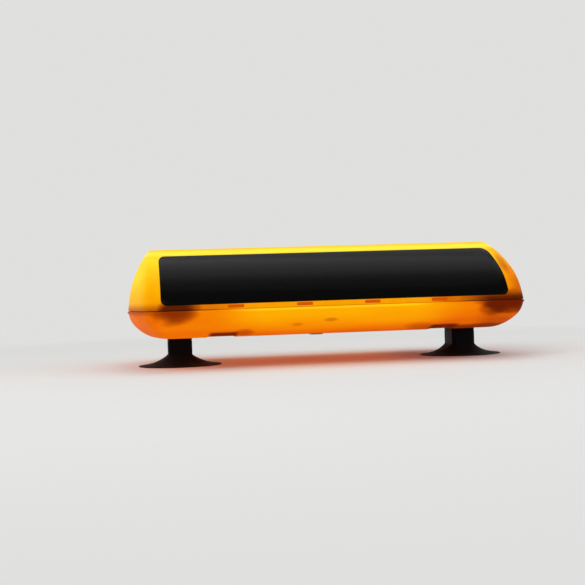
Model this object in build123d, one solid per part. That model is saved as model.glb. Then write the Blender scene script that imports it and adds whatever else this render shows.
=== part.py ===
from build123d import *
import math
import os

# Illuminated taxi roof sign. X runs along the sign, Y from front to rear, Z up.
# The origin is on the roof, midway between the two feet. All sizes are in millimetres.

# Driving dimensions
HALF_LENGTH = 238.0
HALF_DEPTH = 130.0
END_BULGE = 29.9
CORNER_RATIO = 0.4
SEAM_Z = 68.0
WALL = 3.0
FOOT_X = 177.0

# Outer profile of the hood, upwards from the seam, as arcs tangent to each other.
# Angles are between the wall and the vertical.
# columns: radius, angle at the start, angle at the end, loft sections along it
# on the outside, loft sections along it on the inside
HOOD_ARCS = [
    (74.0, 21.3, 58.5, 3, 2),
    (289.0, 58.5, 77.2, 3, 2),
    (45.0, 77.2, 90.0, 1, 1),
]
HOOD_END_RATIO = 0.23

# Outer profile of the pan, downwards from the seam, in the same columns.
PAN_ARCS = [
    (26.0, 10.0, 55.0, 2, 2),
    (88.0, 55.0, 90.0, 3, 2),
]
PAN_END_RATIO = 0.6

# Rim of the pan, seal strip and hood edge at the seam
RIM_PROUD = 1.0
RIM_WIDTH = 6.0
RIM_THICK = 2.0
SEAL_INSET = 1.0
SEAL_WIDTH = 3.0
SEAL_THICK = 1.0
HOOD_Z = SEAM_Z + SEAL_THICK

# Face panels, measured up from the hood's lower edge
PANEL_HALF = 200.5
PANEL_LOW = 5.7
PANEL_HIGH = 64.2
PANEL_CORNER = 7.0
PANEL_THICK = 1.6
PANEL_PROUD = 0.4

# Snap hooks of the pan and the windows for them in the hood's skirt
HOOK_X = (-117.0, -39.0, 39.0, 117.0)
HOOK_WIDTH = 17.0
HOOK_THICK = 2.4
HOOK_GAP = 0.7
HOOK_RISE = 6.4
WINDOW_WIDTH = 18.5
WINDOW_LOW = 1.0
WINDOW_HIGH = 4.6

# Finger recesses under the pan
RECESS_X = 130.0
RECESS_WIDTH = 30.0
RECESS_DEPTH = 4.2
RECESS_INNER_Y = 46.0

# Carrier rail and reflector tray
RAIL_HALF_LENGTH = 196.0
RAIL_HALF_WIDTH = 22.0
RAIL_HEIGHT = 15.0
RAIL_THICK = 2.0
TRAY_LOW_INSET = 19.0
TRAY_HIGH_INSET = 16.0
TRAY_THICK = 1.5
TRAY_WALL = 8.0

# Lamps: glass tubes that lie between two contact blades
LAMP_X = (-118.0, 0.0, 118.0)
LAMP_NAMES = ("left", "centre", "right")
LAMP_RISE = 17.0
GLASS_RADIUS = 5.25
GLASS_LENGTH = 29.0
CAP_RADIUS = 4.2
CAP_LENGTH = 6.0
HOLDER_SIZE = (60.0, 20.0, 4.0)
BLADE_WIDTH = 10.0
BLADE_HEIGHT = 18.0
BLADE_FOOT = 8.0
BLADE_THICK = 0.8

# Terminal block
BLOCK_X = 58.0
BLOCK_Y = 20.0
BLOCK_SIZE = (34.0, 16.0, 9.0)
TOWER_SIZE = (8.0, 12.0, 4.0)
TOWER_STEP = 11.0

# Feet
BOOT_RADIUS = 50.5
BOOT_LIP = 1.0
BOOT_SHOULDER_RADIUS = 36.0
BOOT_SHOULDER_Z = 3.8
BOOT_SPREAD = 10.0
BOOT_COLLAR = 1.2
BOOT_TOP_Z = 13.0
MAGNET_RADIUS = 24.0
MAGNET_HEIGHT = 4.0
POST_WIDTH = 29.0
POST_DEPTH = 40.0
POST_CORNER = 4.0

# Cable gland under the pan
GLAND_Y = 44.0
GLAND_BORE_RADIUS = 3.6
GLAND_THREAD_RADIUS = 8.0
GLAND_COLLAR_RADIUS = 9.0
GLAND_ACROSS = 22.0
GLAND_HEX_HEIGHT = 5.0
GLAND_COLLAR_HEIGHT = 2.0
GLAND_THREAD_HEIGHT = 12.0

UPRIGHT = (Align.CENTER, Align.CENTER, Align.MIN)


def outline(half_length, half_depth, bulge, z):
    """Plan of one level: straight long sides, round corners and bowed ends."""
    straight = half_length - bulge
    corner = CORNER_RATIO * bulge
    bow = (bulge ** 2 - corner ** 2 + (half_depth - corner) ** 2) / (2 * (bulge - corner))
    reach = math.degrees(math.asin((half_depth - corner) / (bow - corner)))
    side = Line((-straight, -half_depth), (straight, -half_depth))
    low = CenterArc((straight, corner - half_depth), corner, -90, 90 - reach)
    end = CenterArc((half_length - bow, 0), bow, -reach, 2 * reach)
    high = CenterArc((straight, half_depth - corner), corner, reach, 90 - reach)
    half = side + low + end + high
    return Pos(0, 0, z) * make_face(half + Rot(0, 0, 180) * half)


def profile_rows(arcs, inside=False):
    """Rows of inset, rise and wall angle along tangent arcs."""
    rows = []
    inset = 0.0
    rise = 0.0
    for radius, start, end, *counts in arcs:
        sections = counts[inside]
        first = math.radians(start)
        for step in range(sections + 1):
            angle = math.radians(start + (end - start) * step / sections)
            row_inset = inset + radius * (math.cos(first) - math.cos(angle))
            row_rise = rise + radius * (math.sin(angle) - math.sin(first))
            if step or not rows:
                rows.append((row_inset, row_rise, angle))
        inset, rise = rows[-1][0], rows[-1][1]
    return rows


# Levels worked out from the values above
PAN_Z = SEAM_Z - profile_rows(PAN_ARCS)[-1][1]
FLOOR_Z = PAN_Z + WALL
TRAY_Z = FLOOR_Z + RAIL_HEIGHT


def hood_form(offset):
    """Domed body of the hood, moved inwards by an offset."""
    sections = []
    for inset, rise, angle in profile_rows(HOOD_ARCS, offset > 0):
        end_angle = math.atan(HOOD_END_RATIO * math.tan(min(angle, math.radians(89.9))))
        half_depth = HALF_DEPTH - inset - offset * math.cos(angle)
        bulge = END_BULGE * (HALF_DEPTH - inset) / HALF_DEPTH - offset * math.cos(end_angle)
        half_length = HALF_LENGTH - END_BULGE + bulge
        z = HOOD_Z + rise - offset * math.sin(angle)
        sections.append(outline(half_length, half_depth, bulge, z))
    return loft(sections, ruled=True)


def pan_form(offset):
    """Tapered body of the pan, moved inwards by an offset."""
    sections = []
    for inset, drop, angle in profile_rows(PAN_ARCS, offset > 0):
        end_angle = math.atan(PAN_END_RATIO * math.tan(min(angle, math.radians(89.9))))
        half_depth = HALF_DEPTH - inset - offset * math.cos(angle)
        half_length = HALF_LENGTH - PAN_END_RATIO * inset - offset * math.cos(end_angle)
        bulge = END_BULGE * half_depth / HALF_DEPTH
        z = SEAM_Z - drop + offset * math.sin(angle)
        sections.append(outline(half_length, half_depth, bulge, z))
    return loft(sections, ruled=True)


def ring(inset_out, inset_in, z, height):
    """Flat ring that follows the outline at the seam."""
    outer = outline(HALF_LENGTH - inset_out, HALF_DEPTH - inset_out, END_BULGE - inset_out, z)
    inner = outline(HALF_LENGTH - inset_in, HALF_DEPTH - inset_in, END_BULGE - inset_in, z)
    return extrude(outer - inner, height)


def face_band(offset_in, offset_out, half_width):
    """Slab between two offsets of the hood's front profile."""
    arcs = [(radius, start, end, 2) for radius, start, end, *counts in HOOD_ARCS]
    sides = []
    for offset in (offset_in, offset_out):
        points = []
        for inset, rise, angle in profile_rows(arcs):
            y = -HALF_DEPTH + inset + offset * math.cos(angle)
            points.append((0, y, HOOD_Z + rise - offset * math.sin(angle)))
        sides.append(points)
    inner, outer = sides
    edges = Line(outer[0], inner[0]) + Line(inner[-1], outer[-1])
    for points in sides:
        for first in range(0, 2 * len(arcs), 2):
            edges += ThreePointArc(*points[first:first + 3])
    band = extrude(make_face(edges), 2 * half_width, dir=(1, 0, 0))
    return Pos(-half_width, 0, 0) * band


def panel_cutter(grow):
    """Prism with rounded corners, through which the panel shows from the front."""
    height = PANEL_HIGH - PANEL_LOW + 2 * grow
    plate = RectangleRounded(2 * (PANEL_HALF + grow), height, PANEL_CORNER)
    centre_z = HOOD_Z + (PANEL_LOW + PANEL_HIGH) / 2
    prism = extrude(Plane.XZ * plate, HALF_DEPTH + 10)
    return Pos(0, 0, centre_z) * prism


def front_panel():
    """Blank black panel, bent to the hood and seated in its recess."""
    slab = face_band(PANEL_THICK - PANEL_PROUD, -PANEL_PROUD, PANEL_HALF)
    return slab & panel_cutter(0)


def panel_recess():
    """Room for a panel in the face of the hood."""
    slab = face_band(PANEL_THICK - PANEL_PROUD, -10, PANEL_HALF + 1)
    return slab & panel_cutter(0.3)


def rear_of(shape):
    """The same shape turned round to the other long side."""
    return Rot(0, 0, 180) * shape


def hood_shell():
    """Thin translucent dome with a recess for each panel and windows for the hooks."""
    recess = panel_recess()
    shell = hood_form(0) - hood_form(WALL) - recess - rear_of(recess)
    window_height = WINDOW_HIGH - WINDOW_LOW
    for x in HOOK_X:
        window = Box(WINDOW_WIDTH, 2 * HALF_DEPTH + 20, window_height)
        shell -= Pos(x, 0, HOOD_Z + WINDOW_LOW + window_height / 2) * window
    return shell


def snap_hook():
    """One upright tongue of the pan, parallel to the inside of the hood's skirt."""
    lean = math.tan(math.radians(HOOD_ARCS[0][1] + 3))
    face = -HALF_DEPTH + WALL + HOOK_GAP + 1.2
    back = face + HOOK_THICK
    foot_z = SEAM_Z - 7
    tip_z = HOOD_Z + HOOK_RISE
    top_lean = lean * (tip_z - HOOD_Z)
    points = [
        (-HALF_DEPTH + 4.2, foot_z),
        (back + 1.5, foot_z),
        (back + 1.5, SEAM_Z - 1),
        (back + top_lean, tip_z),
        (face + top_lean, tip_z),
        (face, HOOD_Z - 0.6),
        (face, SEAM_Z - 1),
        (-HALF_DEPTH + 4.2, SEAM_Z - 1),
    ]
    section = make_face(Polyline(*[(0, y, z) for y, z in points], close=True))
    return Pos(-HOOK_WIDTH / 2, 0, 0) * extrude(section, HOOK_WIDTH, dir=(1, 0, 0))


def recess_bar(radius_gain):
    """Round bar that shapes one finger recess at the front of the pan."""
    half = RECESS_WIDTH / 2
    radius = (half ** 2 + RECESS_DEPTH ** 2) / (2 * RECESS_DEPTH)
    length = HALF_DEPTH - RECESS_INNER_Y + radius_gain
    bar = Rot(90, 0, 0) * Cylinder(radius + radius_gain, length)
    y = -RECESS_INNER_Y + radius_gain - length / 2
    return Pos(0, y, PAN_Z + RECESS_DEPTH - radius) * bar


def base_pan():
    """Tapered tray that closes the hood from below, with rim, hooks and recesses."""
    cavity = pan_form(WALL)
    outside = pan_form(0)
    for side in (-1, 1):
        for turn in (0, 180):
            place = Rot(0, 0, turn) * Pos(side * RECESS_X, 0, 0)
            outside -= place * recess_bar(0)
            cavity -= place * recess_bar(WALL)
    mouth = extrude(outline(HALF_LENGTH - RIM_WIDTH, HALF_DEPTH - RIM_WIDTH,
                            END_BULGE - RIM_WIDTH, SEAM_Z - RIM_THICK), RIM_THICK + 1)
    pan = outside - cavity
    pan += ring(-RIM_PROUD, RIM_WIDTH, SEAM_Z - RIM_THICK, RIM_THICK)
    pan -= mouth
    for x in HOOK_X:
        pan += Pos(x, 0, 0) * snap_hook()
        pan += rear_of(Pos(x, 0, 0) * snap_hook())
    pan -= Pos(0, GLAND_Y, PAN_Z) * Cylinder(GLAND_THREAD_RADIUS + 0.2, 20)
    return pan


def seal_strip():
    """Soft strip between the pan's rim and the hood."""
    return ring(SEAL_INSET, SEAL_INSET + SEAL_WIDTH, SEAM_Z, SEAL_THICK)


def carrier_rail():
    """Steel channel inside the pan, which joins the two feet."""
    length, width = 2 * RAIL_HALF_LENGTH, 2 * RAIL_HALF_WIDTH
    body = Box(length, width, RAIL_HEIGHT, align=UPRIGHT)
    hollow = Box(length + 2, width - 2 * RAIL_THICK, RAIL_HEIGHT, align=UPRIGHT)
    return Pos(0, 0, FLOOR_Z) * (body - Pos(0, 0, RAIL_THICK) * hollow)


def tray_level(inset, z):
    """Plan of the reflector tray at one level."""
    half_depth = HALF_DEPTH - inset
    return outline(HALF_LENGTH - inset, half_depth, END_BULGE * half_depth / HALF_DEPTH, z)


def reflector_tray():
    """White dished plate that carries the lamps and throws their light upwards."""
    low, high = TRAY_LOW_INSET, TRAY_HIGH_INSET
    outer = loft([tray_level(low, TRAY_Z), tray_level(high, TRAY_Z + TRAY_WALL)])
    inner = loft([tray_level(low + TRAY_THICK, TRAY_Z + TRAY_THICK),
                  tray_level(high + TRAY_THICK - 0.2, TRAY_Z + TRAY_WALL + 0.5)])
    return outer - inner


def at_lamp(x):
    """Place of one lamp on the floor of the tray."""
    return Pos(x, 0, TRAY_Z + TRAY_THICK)


def lamp_holder(x):
    """Insulating strip under one lamp."""
    return at_lamp(x) * Box(*HOLDER_SIZE, align=UPRIGHT)


def lamp_blades(x):
    """Two bent contact blades that hold one lamp by its ends."""
    reach = GLASS_LENGTH / 2 + CAP_LENGTH
    upright = Box(BLADE_THICK, BLADE_WIDTH, BLADE_HEIGHT, align=(Align.MIN, Align.CENTER, Align.MIN))
    foot = Box(BLADE_FOOT, BLADE_WIDTH, BLADE_THICK, align=(Align.MIN, Align.CENTER, Align.MIN))
    blade = Pos(reach, 0, 0) * (upright + foot)
    return at_lamp(x) * Pos(0, 0, HOLDER_SIZE[2]) * (blade + Rot(0, 0, 180) * blade)


def lamp_bulb(x):
    """Glass tube of one lamp."""
    return at_lamp(x) * Pos(0, 0, LAMP_RISE) * Rot(0, 90, 0) * Cylinder(GLASS_RADIUS, GLASS_LENGTH)


def lamp_caps():
    """Metal caps at both ends of the lamps."""
    cap = Rot(0, 90, 0) * Cylinder(CAP_RADIUS, CAP_LENGTH)
    middle = (GLASS_LENGTH + CAP_LENGTH) / 2
    return Compound([at_lamp(x) * Pos(side * middle, 0, LAMP_RISE) * cap
                     for x in LAMP_X for side in (-1, 1)])


def terminal_block():
    """Block in which the supply lead is joined to the lamps."""
    block = Box(*BLOCK_SIZE, align=UPRIGHT)
    for step in (-1, 0, 1):
        tower = Box(*TOWER_SIZE, align=UPRIGHT)
        block += Pos(step * TOWER_STEP, 0, BLOCK_SIZE[2]) * tower
    return Pos(BLOCK_X, BLOCK_Y, TRAY_Z + TRAY_THICK) * block


def cable_gland():
    """Gland in the floor of the pan, through which the supply lead would enter."""
    gland = extrude(RegularPolygon(GLAND_ACROSS / 2, 6, major_radius=False), GLAND_HEX_HEIGHT)
    gland += Pos(0, 0, -GLAND_COLLAR_HEIGHT) * Cylinder(
        GLAND_COLLAR_RADIUS, GLAND_COLLAR_HEIGHT, align=UPRIGHT)
    gland += Pos(0, 0, GLAND_HEX_HEIGHT) * Cylinder(
        GLAND_THREAD_RADIUS, GLAND_THREAD_HEIGHT, align=UPRIGHT)
    gland -= Cylinder(GLAND_BORE_RADIUS, 60)
    return Pos(0, GLAND_Y, PAN_Z - GLAND_HEX_HEIGHT) * gland


def foot_post(x):
    """Flat-faced block between the magnet and the pan."""
    post = extrude(RectangleRounded(POST_WIDTH, POST_DEPTH, POST_CORNER), PAN_Z - MAGNET_HEIGHT)
    return Pos(x, 0, MAGNET_HEIGHT) * post


def at_feet(shape):
    """The same piece at both feet, as one node of two solids."""
    return Compound([Pos(side * FOOT_X, 0, 0) * shape for side in (-1, 1)])


def foot_boot():
    """Rubber boot: a thin round lip on the roof that flares up to the square post."""
    lip = Cylinder(BOOT_RADIUS, BOOT_LIP, align=UPRIGHT)
    skirt_height = BOOT_SHOULDER_Z - BOOT_LIP
    skirt = Cone(BOOT_RADIUS, BOOT_SHOULDER_RADIUS, skirt_height, align=UPRIGHT)
    margin = BOOT_COLLAR + BOOT_SPREAD
    shoulder = RectangleRounded(POST_WIDTH + 2 * margin, POST_DEPTH + 2 * margin, POST_CORNER + margin)
    flare_height = BOOT_TOP_Z - BOOT_SHOULDER_Z
    lean = math.degrees(math.atan(BOOT_SPREAD / flare_height))
    flare = Pos(0, 0, BOOT_SHOULDER_Z) * extrude(shoulder, flare_height, taper=lean)
    boot = lip + Pos(0, 0, BOOT_LIP) * skirt + flare
    boot -= Cylinder(MAGNET_RADIUS, MAGNET_HEIGHT, align=UPRIGHT)
    slot = extrude(RectangleRounded(POST_WIDTH, POST_DEPTH, POST_CORNER), BOOT_TOP_Z)
    return boot - Pos(0, 0, MAGNET_HEIGHT) * slot


def foot_magnet():
    """Pot magnet that grips a steel roof."""
    return Cylinder(MAGNET_RADIUS, MAGNET_HEIGHT, align=UPRIGHT)


def build():
    """All pieces, by name."""
    panel = front_panel()
    parts = {
        "hood_shell": hood_shell(),
        "front_panel": panel,
        "rear_panel": rear_of(panel),
        "base_pan": base_pan(),
        "seal_strip": seal_strip(),
        "carrier_rail": carrier_rail(),
        "reflector_tray": reflector_tray(),
        "terminal_block": terminal_block(),
        "cable_gland": cable_gland(),
        "lamp_caps": lamp_caps(),
        "foot_boots": at_feet(foot_boot()),
        "foot_magnets": at_feet(foot_magnet()),
    }
    for name, x in zip(LAMP_NAMES, LAMP_X):
        parts["lamp_holder_" + name] = lamp_holder(x)
        parts["lamp_blades_" + name] = lamp_blades(x)
        parts["lamp_bulb_" + name] = lamp_bulb(x)
    for name, x in (("left", -FOOT_X), ("right", FOOT_X)):
        parts["foot_post_" + name] = foot_post(x)
    return parts


os.makedirs("parts", exist_ok=True)
for node, shape in build().items():
    export_step(shape, "parts/" + node + ".step")
    box = shape.bounding_box()
    print(node, round(shape.volume / 1000, 2), "cm3", [round(v, 1) for v in box.size])
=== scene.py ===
# %% [markdown]
# This file dresses the CAD model of a lit taxi roof sign. The solids are loaded as a fixed
# frame in metres: X runs along the sign, -Y is the face towards the camera, Z is up and the
# car's roof is at zero. Each piece below is built from sizes of that frame, so it fits its
# neighbours with nothing moved by eye.

# %% Load the frame
import math

import bmesh
import bpy
from mathutils import Matrix, Vector


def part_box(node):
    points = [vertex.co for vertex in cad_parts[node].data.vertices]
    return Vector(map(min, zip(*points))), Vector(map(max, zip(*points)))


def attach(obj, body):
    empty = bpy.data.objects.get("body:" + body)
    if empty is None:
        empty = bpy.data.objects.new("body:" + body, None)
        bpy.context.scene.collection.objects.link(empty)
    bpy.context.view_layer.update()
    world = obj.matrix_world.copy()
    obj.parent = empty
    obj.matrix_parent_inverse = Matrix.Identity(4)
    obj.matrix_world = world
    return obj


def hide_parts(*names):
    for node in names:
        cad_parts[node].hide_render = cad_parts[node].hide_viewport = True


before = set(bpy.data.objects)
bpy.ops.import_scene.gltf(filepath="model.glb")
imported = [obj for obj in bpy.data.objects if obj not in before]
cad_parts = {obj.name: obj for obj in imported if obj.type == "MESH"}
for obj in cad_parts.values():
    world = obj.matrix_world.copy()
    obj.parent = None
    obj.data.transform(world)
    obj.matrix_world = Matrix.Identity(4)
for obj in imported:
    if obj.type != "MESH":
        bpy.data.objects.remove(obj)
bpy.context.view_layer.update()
MM = 0.001

# %% [markdown]
# The sign is two shells that meet at a seam: a domed hood above and a tapered pan below. Both
# have straight long sides, small round corners and bowed ends. The overall sizes come from the
# CAD boxes, and the arcs of the two profiles are the ones that the solids were lofted through.
# The solids have a few flat bands for each arc, and the meshes here have many.

# %% Sizes of the two shells
hood_low, hood_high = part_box("hood_shell")
HALF_LENGTH = hood_high.x
HALF_DEPTH = hood_high.y
HOOD_Z = hood_low.z
SEAM_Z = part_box("seal_strip")[0].z
PAN_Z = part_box("base_pan")[0].z
END_BULGE = 29.9 * MM
CORNER_RATIO = 0.4
WALL = 3.0 * MM
# columns: radius in millimetres, wall angle from the vertical at the start and at the end
HOOD_ARCS = [(74.0, 21.3, 58.5), (289.0, 58.5, 77.2), (45.0, 77.2, 90.0)]
PAN_ARCS = [(26.0, 10.0, 55.0), (88.0, 55.0, 90.0)]
HOOD_END_RATIO = 0.23
PAN_END_RATIO = 0.6
print("hood", round(HALF_LENGTH, 4), round(HALF_DEPTH, 4), "seam", round(SEAM_Z, 4))

# %% [markdown]
# A profile is a chain of arcs that run into each other without a corner, as a mould maker
# draws it. Walking along it gives, for each step, how far the wall has moved in, how far it
# has risen and how much it leans. The same arcs can also be asked for the place at a height,
# which the black panels need.

# %% Walk along a profile
def profile_rows(arcs, steps):
    """Rows of inset, rise and wall angle along tangent arcs."""
    rows = []
    inset = rise = 0.0
    for (radius, start, end), count in zip(arcs, steps):
        first = math.radians(start)
        for step in range(count + 1):
            angle = math.radians(start + (end - start) * step / count)
            row = (inset + radius * MM * (math.cos(first) - math.cos(angle)),
                   rise + radius * MM * (math.sin(angle) - math.sin(first)), angle)
            if step or not rows:
                rows.append(row)
        inset, rise = rows[-1][:2]
    return rows


def profile_at(arcs, height):
    """Inset and wall angle at a height above the start of a profile."""
    inset = rise = 0.0
    for radius, start, end in arcs:
        first, last = math.radians(start), math.radians(end)
        top = rise + radius * MM * (math.sin(last) - math.sin(first))
        if height <= top or end == arcs[-1][2]:
            sine = (height - rise) / (radius * MM) + math.sin(first)
            angle = math.asin(min(sine, 1.0))
            return inset + radius * MM * (math.cos(first) - math.cos(angle)), angle
        inset += radius * MM * (math.cos(first) - math.cos(last))
        rise = top


hood_rows = profile_rows(HOOD_ARCS, (16, 14, 8))
pan_rows = profile_rows(PAN_ARCS, (12, 14))
print("hood rises", round(hood_rows[-1][1], 4), "pan drops", round(pan_rows[-1][1], 4))

# %% [markdown]
# Each level of a shell is one closed outline. All outlines have the same number of points, in
# the same order, so that neighbouring levels join in plain four-sided faces. The points crowd
# together where the finger recesses of the pan come, because the mesh bends there.

# %% Outline of one level
END_STEPS = 8
CORNER_STEPS = 7
RECESS_X = 130.0 * MM
RECESS_HALF = 15.0 * MM
CROWDED_HALF = 1.25 * RECESS_HALF
CROWDED_STEPS = 12
STRAIGHT = HALF_LENGTH - END_BULGE


def stations():
    """Places along the straight side as shares of its half length."""
    even = [-0.95 + 0.05 * step for step in range(39)]
    marks = [mark for mark in even if abs(abs(mark) * STRAIGHT - RECESS_X) > CROWDED_HALF]
    for step in range(-CROWDED_STEPS, CROWDED_STEPS + 1):
        place = (RECESS_X + CROWDED_HALF * step / CROWDED_STEPS) / STRAIGHT
        marks += [place, -place]
    return sorted(marks)


STATIONS = stations()


def front_path(half_length, half_depth, bulge, z):
    """Front half of an outline, from the middle of the left end to that of the right end."""
    straight = half_length - bulge
    corner = CORNER_RATIO * bulge
    bow = (bulge ** 2 - corner ** 2 + (half_depth - corner) ** 2) / (2 * (bulge - corner))
    reach = math.asin((half_depth - corner) / (bow - corner))
    right = []
    for step in range(CORNER_STEPS):
        angle = -math.pi / 2 + (math.pi / 2 - reach) * step / CORNER_STEPS
        right.append((straight + corner * math.cos(angle),
                      corner - half_depth + corner * math.sin(angle)))
    for step in range(END_STEPS + 1):
        angle = -reach * (1 - step / END_STEPS)
        right.append((half_length - bow + bow * math.cos(angle), bow * math.sin(angle)))
    side = [(straight * mark, -half_depth) for mark in STATIONS]
    left = [(-x, y) for x, y in reversed(right)]
    return [Vector((x, y, z)) for x, y in left + side + right]


print("points in an outline", 2 * len(front_path(1, 0.5, 0.1, 0)) - 2)

# %% [markdown]
# A shell is then a list of such levels: up the inside, over the edge and down the outside.
# The builder below joins them, and closes a flat end with a ladder of faces from the front
# side to the rear side. bmesh keeps this short, and recalculating the normals at the end makes
# every face look outwards.

# %% Join levels to a closed mesh
def new_object(name, data):
    """Object of a mesh, curve, light or camera, linked to the scene."""
    obj = bpy.data.objects.new(name, data)
    bpy.context.collection.objects.link(obj)
    return obj


def as_object(name, bm):
    """A new object from a bmesh, with its faces turned outwards."""
    bmesh.ops.recalc_face_normals(bm, faces=bm.faces)
    mesh = bpy.data.meshes.new(name)
    bm.to_mesh(mesh)
    bm.free()
    return new_object(name, mesh)


def bridge(bm, first, second):
    """Faces between two closed rings of equal length."""
    count = len(first)
    for index in range(count):
        after = (index + 1) % count
        bm.faces.new((first[index], first[after], second[after], second[index]))


def prism(bm, *outlines):
    """Solid between two outlines in millimetres; gives back its two end faces."""
    ends = [[bm.verts.new(Vector(place) * MM) for place in outline] for outline in outlines]
    bridge(bm, *ends)
    return [bm.faces.new(end) for end in ends]


def ladder(bm, ring):
    """Flat cap of one outline, as rungs from its front side to its rear side."""
    half = len(ring) // 2
    front = ring[:half + 1]
    rear = [ring[0]] + ring[:half:-1] + [ring[half]]
    for index in range(half):
        corners = [front[index], front[index + 1], rear[index + 1], rear[index]]
        bm.faces.new(list(dict.fromkeys(corners)))


def closed(path):
    """Whole outline: a front path and its mirror image behind."""
    return path + [Vector((p.x, -p.y, p.z)) for p in reversed(path[1:-1])]


def shell_object(name, paths):
    """Closed mesh through front paths, capped at the first and at the last one."""
    bm = bmesh.new()
    rings = [[bm.verts.new(place) for place in closed(path)] for path in paths]
    for first, second in zip(rings, rings[1:]):
        bridge(bm, first, second)
    ladder(bm, rings[0])
    ladder(bm, rings[-1])
    return as_object(name, bm)


def keep_result(obj):
    """Makes what the modifiers of an object show its own plain mesh."""
    bpy.context.view_layer.update()
    graph = bpy.context.evaluated_depsgraph_get()
    mesh = bpy.data.meshes.new_from_object(obj.evaluated_get(graph))
    obj.modifiers.clear()
    obj.data = mesh


def finish_piece(obj, material, body, nodes=(), degrees=30.0):
    """Shading, finish and place in the frame of a piece that is ready."""
    obj.data.shade_smooth()
    obj.data.set_sharp_from_angle(angle=math.radians(degrees))
    obj.data.materials.clear()
    obj.data.materials.append(material)
    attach(obj, body)
    if nodes:
        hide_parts(*nodes)
    size = obj.dimensions / MM
    print(obj.name, len(obj.data.polygons), "faces", [round(value, 1) for value in size])
    return obj


# %% [markdown]
# Every material here is a tree of shader nodes. Writing each sum as a node by hand would hide
# the idea, so a small class wraps a socket: plus, minus, times and divide on it add the Math
# nodes, and two methods add any other shader node or geometry node. The same class serves the
# Geometry Nodes trees further down, because those are trees of nodes too.

# %% A socket that can be reckoned with
def operator(operation, swapped=False):
    """Method that stands for a sign such as plus and adds one Math node."""
    def method(self, other):
        return self.math(operation, *((other, self) if swapped else (self, other)))
    return method


def rgba(red, green, blue):
    """Linear opaque colour from the usual 0 to 255 values."""
    return (*(((value / 255 + 0.055) / 1.055) ** 2.4 if value > 10 else value / 255 / 12.92
              for value in (red, green, blue)), 1.0)


class Wire:
    """One output socket of a node tree."""

    def __init__(self, tree, socket):
        self.tree = tree
        self.socket = socket

    def add(self, kind, settings=None, numbered=None, output=0, **named):
        """Output of a new node. Its sockets go by number or by name, with _ for a space."""
        node = self.tree.nodes.new(kind)
        for name, value in (settings or {}).items():
            setattr(node, name, value)
        sockets = {name.replace("_", " "): value for name, value in named.items()}
        sockets.update(numbered or {})
        for name, value in sockets.items():
            if isinstance(value, Wire):
                self.tree.links.new(value.socket, node.inputs[name])
            else:
                node.inputs[name].default_value = value
        return Wire(self.tree, node.outputs[output])

    def shader(self, kind, *details, **named):
        """Output of a new shader node."""
        return self.add("ShaderNode" + kind, *details, **named)

    def shape(self, kind, *details, **named):
        """Output of a new geometry node."""
        return self.add("GeometryNode" + kind, *details, **named)

    def math(self, operation, *values):
        """A Math node on these values."""
        return self.shader("Math", {"operation": operation}, dict(enumerate(values)))

    __add__ = __radd__ = operator("ADD")
    __mul__ = __rmul__ = operator("MULTIPLY")
    __sub__ = operator("SUBTRACT")
    __rsub__ = operator("SUBTRACT", swapped=True)
    __truediv__ = operator("DIVIDE")
    __rtruediv__ = operator("DIVIDE", swapped=True)

    def size(self):
        """The value without its sign."""
        return self.math("ABSOLUTE", self)

    def step(self, low, high):
        """Soft step from 0 at low to 1 at high."""
        if low > high:
            return 1 - self.step(high, low)
        return self.shader("MapRange", {"interpolation_type": "SMOOTHSTEP"},
                           Value=self, From_Min=low, From_Max=high)

    def mix(self, first, second):
        """Colour between two colours, with this value as the share of the second."""
        first, second = (colour if isinstance(colour, Wire) else rgba(*colour)
                         for colour in (first, second))
        return self.shader("Mix", {"data_type": "RGBA"}, {0: self, 6: first, 7: second}, 2)

    def ramp(self, stops):
        """Colour from a ramp, whose stops are pairs of place and colour."""
        result = self.shader("ValToRGB", Fac=self)
        elements = result.socket.node.color_ramp.elements
        while len(elements) < len(stops):
            elements.new(1.0)
        for element, (place, colour) in zip(elements, stops):
            element.position = place
            element.color = rgba(*colour)
        return result


# %% [markdown]
# A finish starts from the place of a point on the piece, in millimetres, because patterns on
# plastic, rubber and steel have real sizes. Noise at two scales makes the slight waves of a
# moulding and the fine grain of its surface. They feed the roughness and a Bump node. Light
# and shade inside the sign are drawn with two forms: a zone, which is a product of soft steps
# along the axes, and an oval. Tables further down list them by place.

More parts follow.
